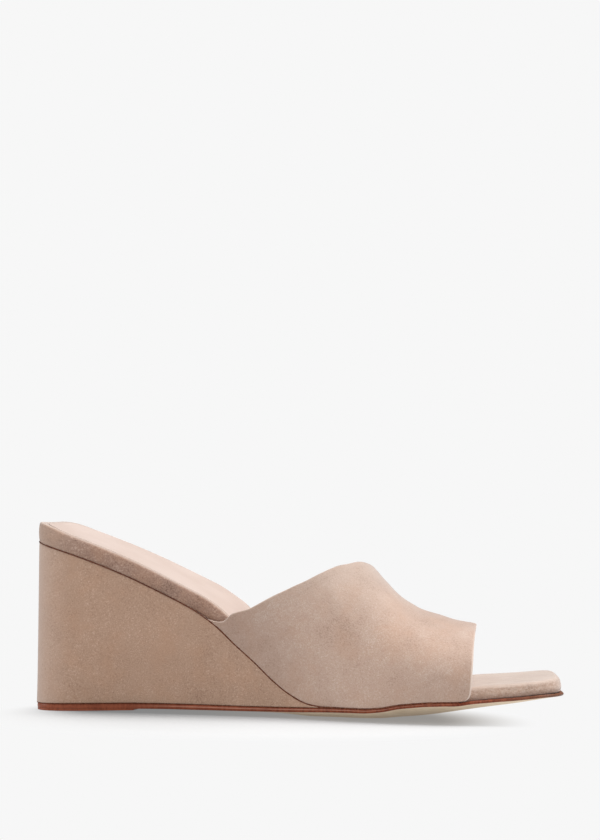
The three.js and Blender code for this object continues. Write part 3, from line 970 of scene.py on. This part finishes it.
wedge_front = 0.5 * SHOE_LENGTH
while wedge_share(wedge_front / SHOE_LENGTH) * WEDGE_HEIGHT > WEDGE_TIP:
    wedge_front += 0.5
wedge_plan = plan_of(outline_half, 0, wedge_front, CORNER, 0)
rings, faces = ring_cover(
    wedge_plan,
    lambda station, side: footbed_under(station, side) - SEAM,
    lambda station, side: outsole_over(station, side) + SEAM,
    top_radius=0.7, bottom_radius=0.6, flare=0.25, side_steps=40, relief=hollows,
)
dress(make_cover("wedge_cover", rings, faces), wedge_suede, "wedge")

# %% [markdown]
# ## Footbed and sock
# The footbed is a board with a few millimetres of foam, covered in suede. The cover is pulled
# over the rim, so the side swells a little and the upper edge is round. The sock is a sheet of
# smooth leather glued on it, a little smaller all round.

# %% Footbed
SOCK_LENGTH = 161
RIM_RISE = 0.1
KERB_INNER, KERB_OUTER = 3.2, 1.9
RIM_RADIUS = 1.9


def footbed_cover_over(station, side):
    """The cover stands a little above the sock all round it, like a low kerb."""
    direction = direction_of(side)
    inset = np.minimum(station, footbed_half(station, direction) - np.abs(side))
    under_vamp = smooth(station, SOCK_LENGTH - 20, SOCK_LENGTH)
    kerb = (1 - smooth(inset, KERB_OUTER, KERB_INNER)) * (1 - under_vamp)
    return footbed_over(station, side) + RIM_RISE * kerb


footbed_plan = plan_of(footbed_half, 0, SHOE_LENGTH, CORNER, TOE_CORNER[0])
at_back = 1 - smooth(footbed_plan[0], 1, 14)
at_toe = smooth(footbed_plan[0], VAMP_FRONT - 10, VAMP_FRONT + 15)
rim_radius = RIM_RADIUS - 0.8 * at_back + 1.1 * at_toe
rings, faces = ring_cover(
    footbed_plan, footbed_cover_over, footbed_under,
    top_radius=rim_radius, bottom_radius=0.7, bulge=0.3, side_steps=8,
)
footbed = make_cover("footbed_cover", rings, faces)
dress(footbed, footbed_suede, "footbed")

# %% Sock
SOCK_INSET = 2.3
SOCK_BACK_INSET = 3.6
SOCK_TOP = 0.35
SOCK_UNDERSIDE = 0.02


def sock_half(station, direction):
    moved = heel_cut(station - SOCK_BACK_INSET, direction) - heel_cut(station, direction)
    return footbed_half(station, direction) - SOCK_INSET - moved


sock_plan = plan_of(sock_half, SOCK_BACK_INSET, SOCK_LENGTH, CORNER, 0)
rings, faces = ring_cover(
    sock_plan,
    lambda station, side: footbed_over(station, side) + SOCK_TOP,
    lambda station, side: footbed_over(station, side) + SOCK_UNDERSIDE,
    top_radius=0.35, bottom_radius=0.05,
)
dress(make_cover("sock_leather_sheet", rings, faces), sock_leather, "sock")

# %% [markdown]
# ## Lines round the wedge
# One line runs round the heel where the wedge meets the footbed's rim, and one where it meets
# the sole. Each path starts at the front of the inner side, goes back and round the heel, and
# ends at the front of the outer side. It is half sunk in the seam, at most 0.15 mm off the
# wedge's outline.

# %% Joint lines of the wedge
RIM_LINE_WIDTH = 0.5
SOLE_LINE_WIDTH = 0.55
SOLE_LINE_FRONT = 0.575 * SHOE_LENGTH


def side_path(direction, stations, half, height):
    side = direction * half(stations, direction)
    return place(stations, side, height(stations, side))


def round_the_heel(end, half, height):
    """Path from the inner side, back and round the heel, to the outer side."""
    turn = CORNER * (1 - np.cos(np.linspace(0, math.pi / 2, 12)))
    stations = np.concatenate([turn, np.arange(CORNER + 1, end, 1.0)])
    inner = side_path(INNER, stations[::-1], half, height)
    sides = np.linspace(-half(stations[0], INNER), half(stations[0], OUTER), 24)[1:-1]
    back = place(stations[0] + 0 * sides, sides, height(stations[0] + 0 * sides, sides))
    return np.concatenate([inner, back, side_path(OUTER, stations, half, height)])


rim_path = round_the_heel(
    VAMP_BACK,
    lambda station, direction: outline_half(station, direction) + 0.05,
    lambda station, side: footbed_under(station, side) - 0.03,
)
sole_path = round_the_heel(
    SOLE_LINE_FRONT,
    lambda station, direction: outline_half(station, direction) - 0.15,
    lambda station, side: outsole_over(station, side) + 0.12,
)
rim_line = lay_line("joint_line_rim", rim_path, RIM_LINE_WIDTH)
sole_line = lay_line("joint_line_sole", sole_path, SOLE_LINE_WIDTH)
for line in (rim_line, sole_line):
    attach(line, "root")

# %% [markdown]
# ## Vamp
# The vamp is suede with a leather lining, pulled over the last, so it has the foot's own shape:
# high over the instep, low over the toes, with two wings that run back to the wedge. Its edges
# are turned in, which leaves a round fold with a faint step where the turned part ends. The
# suede is a shell with a fold at the back and front edges. The lining is a thinner sheet
# inside, which stops short of the folds.

# %% Outside of the vamp
VAMP_POWER = 2 / 2.25
VAMP_BULGE = 1.2
CREST_TOWARDS_INNER = 3


def vamp_point(station, round_):
    """Outside of the vamp. round_ runs from the inner lower edge (0) over the crest (1) to 2."""
    direction = np.where(round_ < 1, INNER, OUTER)
    up = np.where(round_ < 1, round_, 2 - round_)
    inward = np.clip(np.cos(up * math.pi / 2), 0, 1) ** VAMP_POWER
    upward = np.clip(np.sin(up * math.pi / 2), 0, 1) ** VAMP_POWER
    half = full_half(station, direction)
    bulge = VAMP_BULGE * np.sin(math.pi * np.minimum(1, 1.6 * up))
    side = direction * (half * inward + bulge) - CREST_TOWARDS_INNER * upward
    crest = VAMP_HEIGHT * crest_share(station / SHOE_LENGTH)
    return place(station, side, footbed_under(station, direction * half) + crest * upward)


def unit(vectors):
    return vectors / np.linalg.norm(vectors, axis=-1, keepdims=True)


def vamp_inward(station, round_):
    """Direction from the outside of the vamp to its lining, level at the lower edges."""
    nudge = 0.01
    along = vamp_point(station + nudge, round_) - vamp_point(station - nudge, round_)
    further, nearer = np.minimum(2, round_ + nudge), np.maximum(0, round_ - nudge)
    over = vamp_point(station, further) - vamp_point(station, nearer)
    square = unit(np.cross(over, along))
    level = np.stack([0 * round_, np.where(round_ < 1, 1.0, -1.0), 0 * round_], axis=-1)
    share = smooth(np.minimum(round_, 2 - round_), 0, 0.12)[..., None]
    return unit(level + (square - level) * share)


instep = vamp_point(np.array(0.62 * SHOE_LENGTH), np.array(1.0))
print("vamp is", round(float(instep[2]) / MM, 1), "mm high at the instep")

# %% Creases of the vamp
# way over the vamp from its lower edge to the crest, in mm, which is what one of round_ stands for
AROUND = 62.0
ROLL_REACH = 0.004
ROLL_DEPTH = 0.35
# station and round of the two ends, half width in mm, depth in mm (a ridge is below 0)
CREASES = [
    (0.562, 0.567, 0.590, 0.355, 3.2, -0.22), (0.575, 0.600, 0.604, 0.420, 2.6, 0.16),
    (0.598, 0.494, 0.612, 0.286, 3.0, -0.18), (0.726, 0.042, 0.771, 0.154, 1.5, 0.22),
    (0.715, 0.080, 0.765, 0.210, 3.2, -0.22), (0.757, 0.494, 0.811, 0.440, 2.6, 0.16),
    (0.690, 0.700, 0.735, 0.640, 4.0, 0.18), (0.500, 0.300, 0.560, 0.160, 4.5, -0.20),
    (0.660, 1.250, 0.700, 1.480, 4.0, 0.20), (0.740, 1.600, 0.790, 1.820, 3.0, -0.20),
    (0.600, 1.500, 0.640, 1.750, 4.5, 0.22), (0.700, 0.950, 0.712, 1.150, 5.0, 0.16),
]


def creases(station, round_):
    """Soft troughs and ridges of the suede, listed in a table, in mm below the smooth surface."""
    depth = 0 * station
    for start, start_round, end, end_round, width, deep in CREASES:
        first = np.array([start * SHOE_LENGTH, start_round * AROUND])
        run = np.array([end * SHOE_LENGTH, end_round * AROUND]) - first
        x, y = station - first[0], round_ * AROUND - first[1]
        along = np.clip((x * run[0] + y * run[1]) / (run @ run), 0, 1)
        off = np.hypot(x - along * run[0], y - along * run[1])
        depth = depth + deep * np.exp(-((off / width) ** 2))
    return depth


def surface_depth(station, round_, from_back, from_front):
    """How far the suede lies below the smooth surface, in mm: its creases, the faint steps where
    the turned edges end, and the roll of the lower edges."""
    calm = smooth(from_back, 3, 9) * smooth(from_front, 3, 9)
    back_step = 0.10 * smooth(from_back, 2.6, 3.6) * (1 - smooth(from_back, 3.6, 9))
    front_step = 0.08 * smooth(from_front, 2.2, 3.2) * (1 - smooth(from_front, 3.2, 8))
    lower = np.minimum(np.minimum(round_, 2 - round_), ROLL_REACH) / ROLL_REACH
    roll = ROLL_DEPTH * (1 - np.sqrt(1 - (1 - lower) ** 2))
    return creases(station, round_) * calm + back_step + front_step + roll


print(len(CREASES), "troughs and ridges")

# %% Shell of the vamp
EDGE_CROWDING = 0.36
OUTER_WING_SHIFT = 0.009


def shell_columns():
    """round_ of the shell's columns, closer together at the two lower edges."""
    half = np.concatenate([[0, 0.0008, 0.002, 0.004, 0.008], np.linspace(0.016, 1, 80)])
    return np.concatenate([half, 2 - half[-2::-1]])


def shell_ends(round_, trim):
    """Stations of the back and the front edge, trimmed by trim mm. High on the outer side the
    back edge lies a little further forward."""
    up = np.minimum(round_, 2 - round_)
    high_outside = smooth(up, 0.55, 0.8) * (1 - smooth(up, 0.9, 1.0)) * (round_ > 1)
    first = (back_share(up) + OUTER_WING_SHIFT * high_outside) * SHOE_LENGTH + trim
    return first, front_share(up) * SHOE_LENGTH - trim


def fold(outer, inner, row, beyond, steps):
    """Round edge from the outer to the inner surface, past a row of the shell."""
    centre = (outer[row] + inner[row]) / 2
    across = (outer[row] - inner[row]) / 2
    away = outer[row] - outer[beyond]
    share = np.sum(away * across, -1) / np.sum(across * across, -1)
    away = unit(away - across * share[:, None])
    size = np.linalg.norm(across, axis=-1, keepdims=True)
    angles = np.linspace(0, math.pi, steps + 2)[1:-1]
    return [centre + across * math.cos(a) + away * size * math.sin(a) for a in angles]


def lower_edge_faces(rows, columns, count, fold_steps):
    """Faces that close the shell between its outer and inner surface at both lower edges."""
    closing = []
    for j in (0, columns - 1):
        for i in range(rows):
            near, far = count - fold_steps - 1 - i, count - fold_steps - 2 - i
            closing.append([row * columns + j for row in (i, i + 1, far, near)])
        closing.append([row * columns + j for row in range(rows, rows + fold_steps + 2)])
        closing.append([row * columns + j for row in (*range(count - fold_steps - 1, count), 0)])
    return closing


print("rows crowd at the edges by a share of", EDGE_CROWDING)

# %% Vamp and lining


def vamp_shell(name, outer_depth, inner_depth, trim, rows, fold_steps):
    """Closed shell between two depths in mm under the vamp's outside."""
    round_ = shell_columns()
    radius = (inner_depth - outer_depth) / 2
    first, last = shell_ends(round_, trim)
    first, last = first + radius, last - radius
    even = np.linspace(0, 1, rows + 1)
    edge = even - EDGE_CROWDING * np.sin(2 * math.pi * even) / (2 * math.pi)
    station = first[None, :] + (last - first)[None, :] * edge[:, None]
    rounds = np.broadcast_to(round_, station.shape)
    from_back = (station - first[None, :]) * 0.7 + radius
    from_front = last[None, :] - station + radius
    depth = outer_depth + 0 * station
    if outer_depth == 0:
        depth = surface_depth(station, rounds, from_back, from_front)
    outside, inward = vamp_point(station, rounds), vamp_inward(station, rounds)
    outer = outside + inward * depth[..., None] * MM
    inner = outside + inward * inner_depth * MM
    front_fold = fold(outer, inner, -1, -2, fold_steps)
    back_fold = fold(outer, inner, 0, 1, fold_steps)[::-1]
    loop = np.array([*outer, *front_fold, *inner[::-1], *back_fold])
    count, columns = loop.shape[:2]
    faces = loop_faces(count, columns, close_rows=True).tolist()
    faces += lower_edge_faces(rows, columns, count, fold_steps)
    distance = np.minimum(from_back, from_front)
    on_fold = np.zeros((fold_steps, columns))
    mark = np.array([*distance, *on_fold, *distance[::-1], *on_fold])
    return make_piece(name, loop, faces, {"from_edge": mark})


vamp = vamp_shell("vamp_suede", 0, 1.45, trim=0.0, rows=120, fold_steps=6)
dress(vamp, vamp_suede, "vamp")

# %% Joint lines of the vamp
VAMP_LINE_WIDTH = 0.66
low_front = np.linspace(VAMP_BACK, VAMP_FRONT - 2.5, 150)
for direction, label in ((INNER, "inner"), (OUTER, "outer")):
    path = side_path(
        direction, low_front,
        lambda station, side: full_half(station, side) - 0.25,
        lambda station, side: footbed_under(station, side) - 0.12,
    )
    line = lay_line("joint_line_vamp_" + label, path, VAMP_LINE_WIDTH, seed=5.0 + direction)
    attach(line, "root")

# %% Lining
lining = vamp_shell("vamp_lining", 1.5, 2.0, trim=2.0, rows=60, fold_steps=2)
dress(lining, lining_leather, "vamp")

# %% [markdown]
# ## Floor and light
# A plain pale floor and soft light from large lamps. The floor fades into the background with
# distance, so that no horizon shows. Close under the shoe it is darkened, most at the heel,
# which gives the soft contact shadow that the lamps alone leave too faint. The lamps are large
# because a large source has soft shadows: one above, one at the front and one low behind the
# heel.

# %% Floor
BACKDROP = colour(247, 247, 247)
PAPER = colour(221, 221, 221)
HEEL_SHADOW, TOE_SHADOW = colour(58, 58, 59), colour(172, 172, 173)
FLOOR_HALF = 12.0
SHADOW_REACH = 0.12

corners = [(-FLOOR_HALF, -FLOOR_HALF, 0), (FLOOR_HALF, -FLOOR_HALF, 0)]
corners += [(FLOOR_HALF, FLOOR_HALF, 0), (-FLOOR_HALF, FLOOR_HALF, 0)]
floor_mesh = bpy.data.meshes.new("floor")
floor_mesh.from_pydata(corners, [], [(0, 1, 2, 3)])
floor = bpy.data.objects.new("floor", floor_mesh)
bpy.context.scene.collection.objects.link(floor)
floor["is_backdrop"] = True

paper = Finish("pale_paper", roughness=0.9, specular_ior_level=0.0)
reach = {"Distance": SHADOW_REACH}
openness = paper.node("ShaderNodeAmbientOcclusion", {"samples": 8}, reach, "AO")
deep = paper.mix(paper.step(paper.along(), -0.08, 0.02), HEEL_SHADOW, TOE_SHADOW)
paper.surface(paper.mix(paper.step(openness, 0.38, 1.01), deep, PAPER))
glow = paper.node("ShaderNodeEmission", {}, {"Color": BACKDROP, "Strength": 1.0})
oval = {"Vector": paper.coordinates(), "Location": (0.1, 0.3, 0), "Scale": (8.0, 9.0, 1.0)}
pool = paper.node("ShaderNodeMapping", {}, oval)
distance = paper.node("ShaderNodeVectorMath", {"operation": "LENGTH"}, {0: pool}, "Value")
far = 0.25 + 0.75 * paper.step(distance, 0.62, 0.98)
lit = Value(paper, paper.shader.outputs[0])
mixed = paper.node("ShaderNodeMixShader", {}, {0: far, 1: lit, 2: glow})
paper.feed(paper.tree.nodes["Material Output"].inputs["Surface"], mixed)
floor_mesh.materials.append(paper.material)
print("floor", 2 * FLOOR_HALF, "m wide")

# %% [markdown]
# ## Room and lamps
# The camera sees the pale backdrop, while the room's own light on the shoe is weaker, so that
# the lamps shape it. A lamp of the area kind shines along its own -Z axis, so it is turned to
# look at the shoe.

# %% Room
ROOM_LIGHT = 0.32
world = bpy.data.worlds.new("studio")
bpy.context.scene.world = world
world.use_nodes = True
sky = world.node_tree
seen = sky.nodes["Background"]
seen.inputs["Color"].default_value = BACKDROP
room = sky.nodes.new("ShaderNodeBackground")
room.inputs["Strength"].default_value = ROOM_LIGHT
rays = sky.nodes.new("ShaderNodeLightPath")
either = sky.nodes.new("ShaderNodeMixShader")
sky.links.new(rays.outputs["Is Camera Ray"], either.inputs[0])
sky.links.new(room.outputs[0], either.inputs[1])
sky.links.new(seen.outputs[0], either.inputs[2])
sky.links.new(either.outputs[0], sky.nodes["World Output"].inputs["Surface"])
bpy.context.scene.view_settings.view_transform = "Standard"
print("room light", ROOM_LIGHT)

# %% Lamps
# name, place in metres, height of the aim in metres, width in metres, power in watts
LAMPS = [
    ("lamp_above", (0.67, 0.12, 1.77), 0.03, 1.5, 39),
    ("lamp_front", (1.2, -1.3, 0.8), 0.04, 1.4, 13),
    ("lamp_heel", (-1.7, -0.55, 0.6), 0.04, 1.0, 12),
]
for name, place_at, aim, size, power in LAMPS:
    lamp = bpy.data.objects.new(name, bpy.data.lights.new(name, "AREA"))
    lamp.data.shape = "DISK"
    lamp.data.size = size
    lamp.data.energy = power
    lamp.location = place_at
    lamp.rotation_mode = "QUATERNION"
    lamp.rotation_quaternion = (Vector((0, 0, aim)) - Vector(place_at)).to_track_quat("-Z", "Y")
    bpy.context.scene.collection.objects.link(lamp)
print(len(LAMPS), "lamps")

# %% [markdown]
# ## Sizes
# The dressed shoe has to stay inside the box of its solids, apart from the little that fabric may
# stand proud. Both boxes, of the solids and of the dressed shoe, are written down, so that they can
# be compared.

# %% Sizes and finish
dressed_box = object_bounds()
for label, box in (("solids", solid_box), ("dressed", dressed_box)):
    print(label, [round(x * 1000, 1) for corner in box for x in corner])
